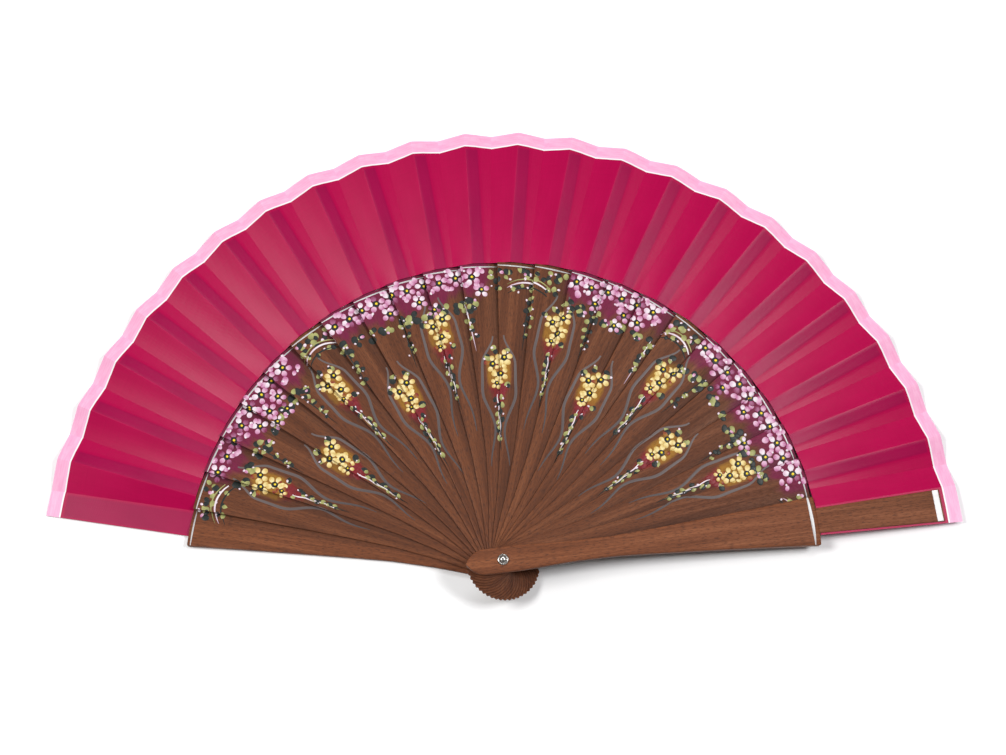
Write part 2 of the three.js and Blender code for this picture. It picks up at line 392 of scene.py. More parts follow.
def build_stick(k, material, edge_mm):
    """Builds one stick, with its rivet hole, and gives it to its body."""
    stick = Stick(k)
    rings = stick_rings(stick, edge_mm * MM, 14)
    vertices, faces = loft(rings)
    shift = Vector((0.13 * k, 0.41 * k))
    uvs = [(vertices[i][1] + vertices[i][2] + shift.x, vertices[i][0] + shift.y) for f in faces for i in f]
    placed = [stick.matrix @ Vector(v) for v in vertices]
    piece = new_object(f"{stick.body}_wood", placed, faces, uvs, [material])
    face_out(piece)
    s, below, above = sizes(), -4 * MM, 6 * MM
    cut_round_hole(piece, stick.matrix, s.hole, below, above)
    if k == 0:
        cut_round_hole(piece, stick.matrix, s.seat, below, s.seat_depth - stick.rear_far)
    paint_wash(piece)
    # painted shadow beside the next stick's raised edge
    paint_shadow_of_next_stick(piece, stick)
    shade(piece, 38)
    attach(piece, stick.body)
    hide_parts(stick.body)
    return piece


# --- washes of thin paint on the wood, and painted shadow -------------------------------------
def clusters():
    """Start and end directions of the pink flower clusters, in degrees."""
    return [(163.5, 134.0), (127.0, 92.5), (77.5, 55.5), (49.0, 13.5)]


def wash_at(r, angle):
    """Colour and strength of the thin wash at a place on the open fan."""
    c, plan = colours(), bpy.context.scene.fan_plan
    degrees = math.degrees(angle)
    strength, tint = 0.0, tuple(c.plum)
    for start, end in clusters():
        middle, half = (start + end) / 2, (start - end) / 2
        inside = smooth(half - abs(degrees - middle), -0.6, 1.0)
        wave = 2.2 * math.sin(degrees * 0.9) + 1.6 * math.sin(degrees * 2.3 + 1)
        low = (133.0 - 4 * inside * (1 - abs(degrees - middle) / half) + wave) * MM
        strength = max(strength, inside * smooth(r, low - 2 * MM, low + 3 * MM))
    for i in range(plan.drops):
        centre = plan.drop_start - i * plan.drop_step
        radius = plan.inner_drop if i % 2 else plan.outer_drop
        along = radius - r  # inwards from the bunch's middle
        side = abs(r * (angle - centre))
        if abs(along) > 30 * MM or side > 12 * MM:
            continue
        width = 5.6 * MM * smooth(along, -11 * MM, -3 * MM) * (1 - 0.72 * smooth(along, 4 * MM, 18 * MM))
        ends = smooth(along, -11.5 * MM, -8 * MM) * (1 - smooth(along, 15 * MM, 19 * MM))
        amount = ends * (1 - smooth(side, width - 1.1 * MM, width + 0.9 * MM))
        if amount > strength:
            strength = amount
            deep = smooth(along, 6 * MM, 8.5 * MM)
            tint = tuple(a + (b - a) * deep for a, b in zip(c.ochre, c.red))
    return (*tint, strength)


def paint_shadow_of_next_stick(piece, stick):
    """Stores a painted shadow at every point, darkest beside the next stick's raised edge, where that edge
    casts its shade.
    """
    layer = piece.data.attributes.new("Dust", "FLOAT", "POINT")
    back = stick.matrix.inverted()
    values = []
    for v in piece.data.vertices:
        p = back @ v.co
        if stick.k == LAST or not 12 * MM < p.x < sizes().shoulder:
            values.append(0.0)
            continue
        low, high = stick.visible(p.x)
        width = high - low
        values.append(1 - smooth(p.y - low, 0.06 * width, 0.52 * width))
    layer.data.foreach_set("value", values)


def paint_wash(piece):
    """Stores the wash at every point of a stick as a colour, for the wood to take up."""
    layer = piece.data.color_attributes.new("Wash", "FLOAT_COLOR", "POINT")
    values = []
    inner, outer = 60 * MM, sizes().shoulder + 0.5 * MM
    for v in piece.data.vertices:
        r = math.hypot(v.co.x, v.co.y)
        painted = inner < r < outer and not piece.name.startswith("front")
        values += wash_at(r, math.atan2(v.co.y, v.co.x)) if painted else (0.0, 0.0, 0.0, 0.0)
    layer.data.foreach_set("color", values)


# --- materials --------------------------------------------------------------------------------
class Nodes:
    """A short way to write a node material."""

    def __init__(self, name):
        self.material = bpy.data.materials.new(name)
        self.material.use_nodes = True
        self.tree = self.material.node_tree
        self.shader = self.tree.nodes["Principled BSDF"]

    def add(self, kind, inputs=None, **settings):
        node = self.tree.nodes.new(kind)
        for key, value in settings.items():
            setattr(node, key, value)
        for key, value in (inputs or {}).items():
            self.put(node.inputs[key], value)
        return node

    def put(self, socket, value):
        if isinstance(value, bpy.types.NodeSocket):
            self.tree.links.new(value, socket)
        elif hasattr(value, "__len__") and len(value) == 3 and socket.type == "RGBA":
            socket.default_value = (*value, 1)
        else:
            socket.default_value = value

    def set(self, **values):
        for key, value in values.items():
            self.put(self.shader.inputs[key.replace("_", " ")], value)

    def math(self, operation, a, b=0.0, clamp=False):
        node = self.add("ShaderNodeMath", operation=operation, use_clamp=clamp)
        self.put(node.inputs[0], a)
        self.put(node.inputs[1], b)
        return node.outputs[0]

    def mix(self, factor, a, b, blend="MIX"):
        node = self.add("ShaderNodeMix", data_type="RGBA", blend_type=blend)
        self.put(node.inputs[0], factor)
        self.put(node.inputs[6], a)
        self.put(node.inputs[7], b)
        return node.outputs[2]

    def range(self, value, low, high, to_low=0.0, to_high=1.0):
        node = self.add("ShaderNodeMapRange", {"Value": value, "From Min": low, "From Max": high,
                                               "To Min": to_low, "To Max": to_high}, clamp=True)
        return node.outputs[0]

    def noise(self, vector, scale, detail=3.0, rough=0.5):
        node = self.add("ShaderNodeTexNoise", {"Vector": vector, "Scale": scale, "Detail": detail,
                                               "Roughness": rough})
        return node.outputs["Fac"]

    def grain(self, across, along):
        """The piece's own across and along coordinates, each times a number."""
        uv = self.add("ShaderNodeUVMap", uv_map="Grain")
        node = self.add("ShaderNodeMapping", {"Vector": uv.outputs[0], "Scale": (across, along, 1)})
        return node.outputs[0]

    def bump(self, height, distance, strength=1.0, normal=None):
        node = self.add("ShaderNodeBump", {"Height": height, "Distance": distance, "Strength": strength})
        if normal is not None:
            self.put(node.inputs["Normal"], normal)
        return node.outputs[0]


def wood_material(name, lighten):
    """Oiled hardwood: long streaks, short dark pores and the thin wash of paint over them, with a painted
    shadow beside the next stick's raised edge; a negative lighten gives a darker copy as painted shade.
    """
    n, c = Nodes(name), colours()
    # lighten below zero darkens the whole wood as painted shade
    lift = 1 + lighten
    broad = n.noise(n.grain(190, 7), 1.0, 4.0, 0.6)
    streaks = n.noise(n.grain(900, 16), 1.0, 5.0, 0.65)
    pores = n.noise(n.grain(3000, 330), 1.0, 2.0, 0.65)
    tone = n.math("ADD", n.math("MULTIPLY", broad, 0.55), n.math("MULTIPLY", streaks, 0.45))
    ramp = n.add("ShaderNodeValToRGB", {"Fac": tone})
    stops = ramp.color_ramp.elements
    stops[0].position, stops[0].color = 0.34, (*[v * 0.55 * lift for v in c.wood_mid], 1)
    stops[1].position, stops[1].color = 0.68, (*[v * lift for v in c.wood_light], 1)
    middle = stops.new(0.5)
    middle.color = (*[v * lift for v in c.wood_mid], 1)
    pore = n.range(pores, 0.5, 0.64)
    wood = n.mix(n.math("MULTIPLY", pore, 0.66), ramp.outputs[0], tuple(c.wood_dark))
    wash = n.add("ShaderNodeAttribute", attribute_name="Wash")
    brushed = n.noise(n.grain(500, 180), 1.0, 3.0)
    tint = n.mix(n.math("MULTIPLY", pore, 0.35), wash.outputs["Color"], (0.02, 0.008, 0.008))
    amount = n.math("MULTIPLY", wash.outputs["Alpha"], n.range(brushed, 0.2, 0.6, 0.78, 0.97))
    # painted shadow: the wood turns darker beside the next stick's raised edge
    painted_shadow = n.math("MULTIPLY", n.add("ShaderNodeAttribute", attribute_name="Dust").outputs["Fac"], 0.42)
    painted = n.mix(painted_shadow, n.mix(amount, wood, tint), tuple(0.4 * v for v in c.wood_dark))
    n.set(Base_Color=painted, Roughness=n.range(tone, 0.3, 0.7, 0.6, 0.44))
    n.set(Normal=n.bump(pore, 0.05 * MM, 0.55, n.bump(streaks, 0.05 * MM, 0.5)))
    n.shader.inputs["Specular IOR Level"].default_value = 0.18
    return n.material


def paint_material(name, light, deep, roughness=0.42, metallic=0.0):
    """Brushed paint that runs from its light tone to its deep tone along the brush mark."""
    n = Nodes(name)
    uv = n.add("ShaderNodeUVMap", uv_map="Grain")
    parts = n.add("ShaderNodeSeparateXYZ", {"Vector": uv.outputs[0]})
    hairs = n.noise(n.grain(9, 2.2), 1.0, 3.0, 0.6)
    along = n.math("FRACT", parts.outputs[1])
    load = n.math("ADD", along, n.math("MULTIPLY", n.math("SUBTRACT", hairs, 0.5), 1.1))
    n.set(Base_Color=n.mix(n.range(load, 0.25, 0.85), light, deep), Roughness=roughness, Metallic=metallic)
    n.set(Normal=n.bump(hairs, 0.06 * MM, 0.5))
    n.shader.inputs["Specular IOR Level"].default_value = 0.25
    return n.material


def stick_edges():
    """Where the two edges of a rib's stick lie under the cloth, measured from the ridge."""
    s = sizes()
    near = s.fold_offset - s.stick_set - s.stick_half
    return near, near + 2 * s.stick_half


def cloth_material():
    """Plain-weave cotton: sticks show through, with a brushed border and a pearl line at its inner edge."""
    n, c, s = Nodes("leaf_cloth"), colours(), sizes()
    uv = n.add("ShaderNodeUVMap", uv_map="Grain")
    parts = n.add("ShaderNodeSeparateXYZ", {"Vector": uv.outputs[0]})
    across, along = parts.outputs[0], parts.outputs[1]
    threads = 2300.0  # in a metre
    warp = n.math("SINE", n.math("MULTIPLY", across, threads * math.tau / 2))
    weft = n.math("SINE", n.math("MULTIPLY", along, threads * math.tau / 2))
    weave = n.math("MULTIPLY", warp, weft)
    slub = n.noise(n.grain(1500, 60), 1.0, 3.0)
    slub_cross = n.noise(n.grain(60, 1500), 1.0, 3.0)
    mottled = n.noise(n.grain(60, 25), 1.0, 3.0)
    near, far = stick_edges()
    shadow = n.math("MULTIPLY", n.range(across, near - 0.4 * MM, near + 0.2 * MM),
                    n.range(across, far + 0.2 * MM, far - 0.5 * MM))
    shadow = n.math("MULTIPLY", shadow, n.range(along, s.stick_end + 0.5 * MM, s.stick_end - 0.5 * MM))
    base = n.mix(n.math("MULTIPLY", shadow, 0.62), tuple(c.cloth), tuple(c.stripe))
    thread_tone = n.math("ADD", n.math("MULTIPLY", slub, 0.5), n.math("MULTIPLY", slub_cross, 0.5))
    base = n.mix(n.range(thread_tone, 0.3, 0.7, 0.0, 0.22), base, tuple(0.45 * v for v in c.cloth))
    base = n.mix(n.range(mottled, 0.35, 0.7, 0.0, 0.18), base, (0.55, 0.004, 0.09))
    wobble = n.noise(n.grain(90, 1), 1.0, 2.0)
    edge = n.math("ADD", along, n.math("MULTIPLY", n.math("SUBTRACT", wobble, 0.5), 0.7 * MM))
    inner = s.rim - s.border
    brushed = n.noise(n.grain(130, 1100), 1.0, 4.0, 0.6)
    border = n.mix(n.range(brushed, 0.35, 0.75, 0.0, 0.75), tuple(c.border), (0.87, 0.52, 0.68))
    faded = n.noise(n.grain(420, 420), 1.0, 2.0)
    border = n.mix(n.range(faded, 0.6, 0.8, 0.0, 0.35), border, (0.70, 0.17, 0.37))
    base = n.mix(n.range(edge, inner - 0.08 * MM, inner + 0.08 * MM), base, border)
    line = n.math("MULTIPLY", n.range(edge, inner - 0.55 * MM, inner - 0.45 * MM),
                  n.range(edge, inner + 0.28 * MM, inner + 0.18 * MM))
    base = n.mix(line, base, (0.80, 0.79, 0.80))
    n.set(Base_Color=base, Roughness=n.math("SUBTRACT", 0.34, n.math("MULTIPLY", line, 0.1)))
    height = n.math("ADD", n.math("MULTIPLY", weave, 0.5), slub)
    n.set(Normal=n.bump(height, 0.045 * MM, 0.6))
    n.shader.inputs["Specular IOR Level"].default_value = 0.145
    return n.material


def metal_material():
    """Nickel plate, rubbed round and a little dull in places."""
    n = Nodes("silver_metal")
    where = n.add("ShaderNodeTexCoord").outputs["Object"]
    rubbed = n.noise(where, 1400.0, 4.0, 0.6)
    n.set(Base_Color=n.mix(rubbed, (0.42, 0.40, 0.37), (0.62, 0.60, 0.57)), Metallic=1.0)
    n.set(Roughness=n.range(rubbed, 0.3, 0.7, 0.16, 0.34), Normal=n.bump(rubbed, 0.02 * MM, 0.4))
    return n.material


def floor_material():
    n = Nodes("table_paper")
    where = n.add("ShaderNodeTexCoord").outputs["Object"]
    n.set(Base_Color=n.mix(n.noise(where, 30.0, 2.0), (0.92, 0.92, 0.925), (0.94, 0.94, 0.94)))
    n.set(Roughness=0.9)
    n.shader.inputs["Specular IOR Level"].default_value = 0.1
    return n.material


# --- painted marks ----------------------------------------------------------------------------
PAINTS = ("white", "pink", "lilac", "black", "yellow", "olive", "forest", "cream", "ochre", "red",
          "grey", "silver")


def paint_materials():
    c = colours()
    deep = {"white": (0.60, 0.42, 0.52), "lilac": c.plum, "cream": (0.55, 0.37, 0.10), "ochre": c.red,
            "olive": (0.22, 0.22, 0.07), "grey": (0.055, 0.042, 0.042)}
    made = []
    for name in PAINTS:
        light = tuple(getattr(c, name))
        dark = tuple(deep.get(name, tuple(0.7 * v for v in light)))
        if name == "pink":
            light, dark = (0.68, 0.44, 0.57), tuple(c.pink)
        shine = 0.35 if name == "silver" else 0.0
        made.append(paint_material(f"{name}_paint", light, dark, metallic=shine))
    return made


class Mark:
    """One mark of the brush on the open fan: rows of points across it, in plan, with their heights."""

    def __init__(self, paint, rows, closed):
        self.paint, self.rows, self.closed = PAINTS.index(paint), rows, closed


def dab(paint, x, y, long, wide, turn, base=0.0, height=0.12, pointed=0.0):
    """An oval dab: rings of points from the middle out, each (x, y, height). A pointed one is a drop."""
    rings = []
    count = 14
    for share, lift in ((0.0, 1.0), (0.55, 0.86), (0.85, 0.5), (1.0, 0.06)):
        ring = []
        for i in range(count if share else 1):
            a = math.tau * i / count
            u, v = share * long * math.cos(a), share * wide * math.sin(a)
            v *= 1 - pointed * max(0.0, math.cos(a))
            ring.append((x + u * math.cos(turn) - v * math.sin(turn),
                         y + u * math.sin(turn) + v * math.cos(turn),
                         base + lift * height * MM, 0.5 + v / (2 * wide), 0.5 - 0.45 * u / long))
        rings.append(ring)
    return Mark(paint, rings, True)


def stroke(paint, path, width, base=0.0, height=0.09):
    """A brush stroke along a path of (x, y) points, thin at its ends."""
    rows = []
    last = len(path) - 1
    for i, (x, y) in enumerate(path):
        ahead, behind = path[min(last, i + 1)], path[max(0, i - 1)]
        dx, dy = ahead[0] - behind[0], ahead[1] - behind[1]
        size = math.hypot(dx, dy) or 1e-9
        nx, ny = -dy / size, dx / size
        share = i / last
        w = width / 2 * max(0.1, math.sin(math.pi * min(1.0, 0.12 + 0.86 * share)) ** 0.6)
        rows.append([(x + nx * w * side, y + ny * w * side, base + lift * height * MM,
                      0.5 + side / 2, share * 0.9)
                     for side, lift in ((1, 0.05), (0.5, 0.8), (-0.5, 0.8), (-1, 0.05))])
    return Mark(paint, rows, False)


class PaintCoat:
    """All the marks on one stick, gathered into one mesh that lies on its face."""

    def __init__(self, stick):
        self.stick = stick
        self.vertices, self.faces, self.uvs, self.paints = [], [], [], []
        self.turn = Matrix.Rotation(-stick.angle, 2)
        self.reach = sizes().shoulder - 0.25 * MM
        self.bands = {}

    def band(self, r):
        key = round(r / MM)
        if key not in self.bands:
            self.bands[key] = self.stick.visible(key * MM)
        return self.bands[key]

    def lay(self, mark):
        """Lays the part of a mark that falls on this stick, cut off at the stick's visible edges."""
        placed, inside = [], False
        for row in mark.rows:
            out = []
            for x, y, z, u, v in row:
                p = self.turn @ Vector((x, y))
                low, high = self.band(p.x)
                high -= 0.12 * MM
                inside |= low + 0.15 * MM < p.y < high and p.x < self.reach
                across = min(high, max(low, p.y))
                r = min(self.reach, p.x)
                out.append(((r, across, self.stick.top(r, across) + z), u, v))
            placed.append(out)
        if inside and min(p[0][0] for row in placed for p in row) > 0:
            self.store(mark, placed)

    def store(self, mark, placed, face=None):
        """Adds a mark's mesh, with an underside just below the face that it lies on."""
        face = face or self.stick.top
        start, flat = len(self.vertices), [p for row in placed for p in row]
        under = [((x, y, face(x, y) - 0.04 * MM), u, v) for (x, y, z), u, v in flat]
        self.vertices += [self.stick.matrix @ Vector(p) for p, u, v in flat + under]
        coords = [(u + 0.37 * start, v) for p, u, v in flat + under]
        if mark.closed:
            faces = self.closed_faces(len(placed[1]), len(placed))
        else:
            faces = self.open_faces(len(placed), len(placed[0]))
        for face in faces:
            self.faces.append(tuple(start + i for i in face))
            self.uvs += [coords[i] for i in face]
            self.paints.append(mark.paint)

    @staticmethod
    def closed_faces(count, rings):
        """A dome: a fan round the middle, bands out to the edge, a short wall down and a bottom."""
        faces = [(0, 1 + i, 1 + (i + 1) % count) for i in range(count)]
        for ring in range(rings - 2):
            a = 1 + ring * count
            faces += [(a + i, a + i + count, a + (i + 1) % count + count, a + (i + 1) % count)
                      for i in range(count)]
        rim, deep = 1 + (rings - 2) * count, 1 + (rings - 1) * count
        below = deep + rim
        faces += [(rim + i, below + i, below + (i + 1) % count, rim + (i + 1) % count)
                  for i in range(count)]
        return faces + [tuple(below + i for i in range(count))[::-1]]

    @staticmethod
    def open_faces(rows, width):
        """A ribbon with a bottom and walls."""
        total = rows * width
        faces = []
        for i in range(rows - 1):
            for j in range(width - 1):
                a = i * width + j
                faces.append((a, a + 1, a + 1 + width, a + width))
            left, right = i * width, i * width + width - 1
            faces.append((left + width, left, left + total, left + width + total))
            faces.append((right, right + width, right + width + total, right + total))
            faces.append((left + total, right + total, right + width + total, left + width + total)[::-1])
        first, end = list(range(width)), list(range((rows - 1) * width, rows * width))
        faces.append(tuple(first[::-1]) + (first[0] + total, first[-1] + total))
        faces.append(tuple(end) + (end[-1] + total, end[0] + total))
        return faces

    def build(self, materials):
        piece = new_object(f"{self.stick.body}_paint", self.vertices, self.faces, self.uvs,
                           materials, self.paints)
        work = bmesh.new()
        work.from_mesh(piece.data)
        bmesh.ops.dissolve_degenerate(work, dist=0.004 * MM, edges=work.edges)
        bmesh.ops.recalc_face_normals(work, faces=work.faces)
        work.to_mesh(piece.data)
        work.free()
        shade(piece, 55)
        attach(piece, self.stick.body)
        return piece


def polar(r, angle, along=0.0, side=0.0):
    """A place on the open fan: r from the rivet, then along outwards and side to the left of that line."""
    c, s = math.cos(angle), math.sin(angle)
    return (r + along) * c - side * s, (r + along) * s + side * c


def flower(marks, rng, x, y, radius, petals, centre="black", dot="yellow"):
    """Five petals round a dark eye with a pollen dot. petals picks a paint from a petal's direction."""
    turn = rng.uniform(0, math.tau)
    for i in range(5):
        a = turn + math.tau * i / 5 + rng.uniform(-0.12, 0.12)
        reach = radius * rng.uniform(0.66, 0.74)
        paint = petals(a)
        size = radius * rng.uniform(0.36, 0.41)
        marks.append(dab(paint, x + reach * math.cos(a), y + reach * math.sin(a), size, size * 0.86,
                         a + rng.uniform(2.8, 3.4), base=rng.uniform(0, 0.05) * MM, height=0.2,
                         pointed=0.35))
    eye = radius * 0.39
    marks.append(dab(centre, x, y, eye * rng.uniform(1.0, 1.2), eye, turn, base=0.12 * MM, height=0.12))
    marks.append(dab(dot, x + 0.1 * eye, y + 0.1 * eye, eye * 0.40, eye * 0.36, turn,
                     base=0.22 * MM, height=0.14))


def scatter(marks, rng, x, y, kinds):
    """Small buds, leaves and dots round a place; kinds lists (paint, count, size in mm, spread in mm)."""
    for paint, count, size, spread in kinds:
        for _ in range(count):
            a, d = rng.uniform(0, math.tau), spread * MM * math.sqrt(rng.random())
            drop = 0.75 if paint == "olive" and rng.random() < 0.5 else 0.15
            long = size * MM * rng.uniform(0.9, 1.35)
            marks.append(dab(paint, x + d * math.cos(a), y + d * math.sin(a),
                             long, long * rng.uniform(0.75, 0.9), rng.uniform(0, math.tau),
                             base=rng.uniform(0, 0.08) * MM, height=0.14, pointed=drop))


def pink_petals(rng):
    def choose(a):
        lit = math.cos(a - math.radians(150))
        if rng.random() < 0.32 + 0.3 * lit:
            return "white"
        return "pink" if rng.random() < 0.66 else "lilac"
    return choose


def cream_petals(rng):
    return lambda a: "cream" if rng.random() < 0.88 else "ochre"


def pink_clusters(marks, rng, plan):
    """Rows of pink flowers along the blades' outer edges, thicker in the middle of each cluster."""
    spacing = 3.45
    for start, end in clusters():
        count = int((start - end) / spacing)
        for i in range(count):
            degrees = start - 1.9 - i * (start - end - 2.6) / count
            inward = 1 - abs(degrees - (start + end) / 2) / ((start - end) / 2)
            a = math.radians(degrees + rng.uniform(-0.25, 0.25))
            x, y = polar(140.8 * MM + rng.uniform(-0.9, 0.9) * MM, a)
            flower(marks, rng, x, y, plan.flower * rng.uniform(0.92, 1.05), pink_petals(rng))
            if rng.random() < 0.12 + 0.6 * inward:
                x, y = polar(133.2 * MM + rng.uniform(-1, 1) * MM, a - math.radians(1.7))
                flower(marks, rng, x, y, plan.flower * rng.uniform(0.85, 0.98), pink_petals(rng))
            if inward > 0.72 and rng.random() < 0.35:
                x, y = polar(126.5 * MM + rng.uniform(-1, 1) * MM, a - math.radians(0.8))
                flower(marks, rng, x, y, plan.flower * 0.85, pink_petals(rng))
            x, y = polar(144.6 * MM, a - math.radians(1.7))
            scatter(marks, rng, x, y, [("pink", 2, 1.25, 1.6), ("white", 1, 0.7, 1.4)])
            x, y = polar(137 * MM, a - math.radians(1.6))
            scatter(marks, rng, x, y, [("pink", 2, 1.3, 2.4), ("white", 1, 0.7, 2.2)])
            x, y = polar((128.5 - 4 * inward) * MM + rng.uniform(-1.2, 1.2) * MM, a + math.radians(0.6))
            scatter(marks, rng, x, y, [("forest", 2, 1.6, 2.8), ("olive", 1, 1.5, 2.6),
                                       ("white", 1, 0.6, 2.6)])
            if i % 2:
                scatter(marks, rng, x, y, [("forest", 1, 1.4, 3.0), ("olive", 1, 1.3, 2.8),
                                           ("pink", 1, 1.0, 2.6)])


def gap_sprigs(marks, rng):
    """Between the clusters: buds and leaves near the edge with curved white and dark strokes."""
    edges = [168.5] + [v for pair in clusters() for v in pair][1:-1] + [9.0]
    gaps = [(171.0, 163.8)] + list(zip(edges[1::2], edges[2::2])) + [(13.2, 9.5)]
    for start, end in gaps:
        count = max(2, round((start - end) / 2.4))
        for i in range(count):
            a = math.radians(start + (end - start) * (i + 0.5) / count)
            x, y = polar(141.5 * MM, a)
            scatter(marks, rng, x, y, [("forest", 2, 1.45, 3.4), ("olive", 2, 1.4, 3.4),
                                       ("white", 1, 0.7, 3.2)])
            if i % 2 == 0:
                scatter(marks, rng, x, y, [("pink", 1, 1.1, 3.0)])
            x, y = polar(135 * MM, a)
            scatter(marks, rng, x, y, [("olive", 1, 1.2, 2.6), ("white", 1, 0.55, 3.0),
                                       ("forest", 1, 1.1, 2.6)])
        middle = math.radians((start + end) / 2)
        spread = math.radians(min(4.2, (start - end) * 0.55))
        for paint, out, width in (("white", 137.5, 0.85), ("forest", 134.6, 0.8), ("olive", 139.3, 0.6)):
            path = []
            for j in range(17):
                t = j / 8 - 1
                path.append(polar((out - 3.4 * t * t) * MM, middle + t * spread * rng.uniform(0.98, 1.02)))
            marks.append(stroke(paint, path, width * MM, base=0.08 * MM))


def pale_bunch(marks, rng, angle, radius):
    """A teardrop bunch of pale flowers that runs into a deep red tip and a long stem towards the rivet."""
    def at(along, side):
        return polar(radius, angle, -along * MM, side * MM)

    for along, side, size in ((-5.6, -2.4, 3.9), (-3.4, 2.7, 3.8), (2.4, -0.6, 3.8), (6.6, 1.3, 2.8)):
        flower(marks, rng, *at(along + rng.uniform(-0.5, 0.5), side + rng.uniform(-0.4, 0.4)), size * MM,
               cream_petals(rng))
    for _ in range(9):
        along = rng.uniform(-4, 9)
        half = 4.6 * (1 - 0.07 * max(0.0, along))
        marks.append(dab(rng.choice(("cream", "cream", "ochre")), *at(along, rng.uniform(-half, half)),
                         1.25 * MM, 0.95 * MM, rng.uniform(0, math.tau), base=0.03 * MM, height=0.14))
    for _ in range(8):
        marks.append(dab("red", *at(rng.uniform(8, 14.5), rng.uniform(-2.2, 2.2)), 1.6 * MM, 1.1 * MM,
                         angle + rng.uniform(-0.4, 0.4), height=0.1))
    for along, side in ((-9.5, -4.4), (-10.2, 2.2), (-6, 6.2), (8, -4.2)):
        scatter(marks, rng, *at(along, side), [("olive", 1, 1.3, 1.0), ("forest", 1, 1.4, 1.4),
                                               ("white", 1, 0.6, 1.6)])
    place = 12.5
    while place < 33:
        spread = 2.4 * (1 - (place - 12) / 30)
        for paint, size in (("forest", 1.5), ("olive", 1.35), ("white", 0.62)):
            x, y = at(place + rng.uniform(0, 2.4), rng.uniform(-spread, spread))
            long = size * MM * rng.uniform(0.8, 1.25)
            marks.append(dab(paint, x, y, long, long * 0.7, angle + rng.uniform(-0.5, 0.5),
                             base=0.02 * MM, height=0.14, pointed=0.4))
        place += 3.9
    for paint, start, finish, side, width in (("white", 12, 25, 0.9, 0.55), ("white", 22, 34, -0.2, 0.45),
                                              ("forest", 16, 40, -0.6, 0.7), ("olive", 20, 36, 0.5, 0.4)):
        path = [at(start + (finish - start) * j / 10, side * (1 - j / 12) + 0.25 * math.sin(j))
                for j in range(11)]
        marks.append(stroke(paint, path, width * MM, base=0.06 * MM))


def tendrils(marks, rng, angle, radius):
    """Two wavy grey lines that hug a bunch and close in on its stem."""
    for hand in (-1, 1):
        phase, spare = rng.uniform(-0.5, 0.5), rng.uniform(-0.4, 0.4)
        path = []
        finish = min(52.0, radius / MM - 46)
        for j in range(49):
            along = -17 + (finish + 17) * j / 48
            hug = 3.0 + 5.2 * smooth(along, -17, -3) - 4.3 * smooth(along, 2, 30)
            calm = smooth(along, 2, 16) * (1 - 0.6 * smooth(along, 25, 55))
            wave = 1.5 * math.sin(along / 6.2 + phase) * calm
            side = hand * (hug + spare + wave)
            path.append(polar(radius, angle, -along * MM, side * MM))
        marks.append(stroke("grey", path, 1.35 * MM, height=0.07))


def sprays(marks, rng, plan):
    """Small sprays of buds with a fine line, between the bunches."""
    for i in range(plan.drops - 1):
        angle = plan.drop_start - (i + 0.5) * plan.drop_step
        lean = rng.uniform(-0.03, 0.03)
        for j in range(5):
            x, y = polar((128 - 4.3 * j) * MM, angle + lean * j / 5)
            scatter(marks, rng, x, y, [("forest", 1, 1.5 - 0.1 * j, 1.8), ("olive", 1, 1.4 - 0.1 * j, 2.2),
                                       ("white", 1, 0.55, 2.2)])
        path = [polar((129 - 2.6 * j) * MM, angle + lean * j / 10 + 0.004) for j in range(11)]
        marks.append(stroke(rng.choice(("white", "forest")), path, 0.55 * MM, base=0.05 * MM))


def edge_lines(coat):
    """The pearl line just inside a blade's curved edge, set further in and broader on the front guard."""
    s, stick = sizes(), coat.stick
    low, high = coat.band(s.shoulder)
    inset = 2.6 * MM if stick.k == LAST else 1.55 * MM
    width = 1.5 * MM if stick.k == LAST else 0.72 * MM
    r = s.shoulder - inset
    path = []
    for j in range(25):
        y = high - 0.3 * MM - (high - low - 0.3 * MM) * j / 24
        x = r - y * y / (2 * s.shoulder)
        path.append(tuple(Matrix.Rotation(stick.angle, 2) @ Vector((x, y))))
    coat.lay(stroke("silver", path, width, base=0.03 * MM))


def upper_line(coat):
    """The broad pearl line across the outer end of the front guard's upper section."""
    s, stick = sizes(), coat.stick
    half, top = stick.upper()[:2]
    rows = []
    for back, lift in ((3.4, 0.02), (2.9, 0.07), (1.1, 0.07), (0.6, 0.02)):  # mm from the end, mm proud
        r = s.stick_end - back * MM
        w = half(r) - 0.25 * MM
        rows.append([((r, w - 2 * w * j / 8, top(r, 0) + lift * MM), 0.1 * j, 0.3) for j in range(9)])
    coat.store(Mark("silver", rows, False), rows, top)


def all_marks():
    plan = bpy.context.scene.fan_plan
    rng = random.Random(plan.seed)
    marks = []
    for i in range(plan.drops):
        angle = plan.drop_start - i * plan.drop_step
        tendrils(marks, rng, angle, plan.inner_drop if i % 2 else plan.outer_drop)
    sprays(marks, rng, plan)
    for i in range(plan.drops):
        angle = plan.drop_start - i * plan.drop_step
        pale_bunch(marks, rng, angle, plan.inner_drop if i % 2 else plan.outer_drop)
    pink_clusters(marks, rng, plan)
    gap_sprigs(marks, rng)
    return marks


# --- the leaf ---------------------------------------------------------------------------------
def ridge(k, r):
    """Direction and height of the underside of the cloth along stick k's ridge."""
    s, stick = sizes(), Stick(k)
    clear = s.rib_t / 2 + 0.12 * MM
    return stick.angle + s.fold_offset / r, stick.middle(r) + twist(r) * s.fold_offset + clear


def valley(k, r):
    """The fold between sticks k - 1 and k."""
    angle, z = ridge(k - 1, r)
    step = Stick(0).step
    return angle - step / 2, z - twist(r) * r * step / 2


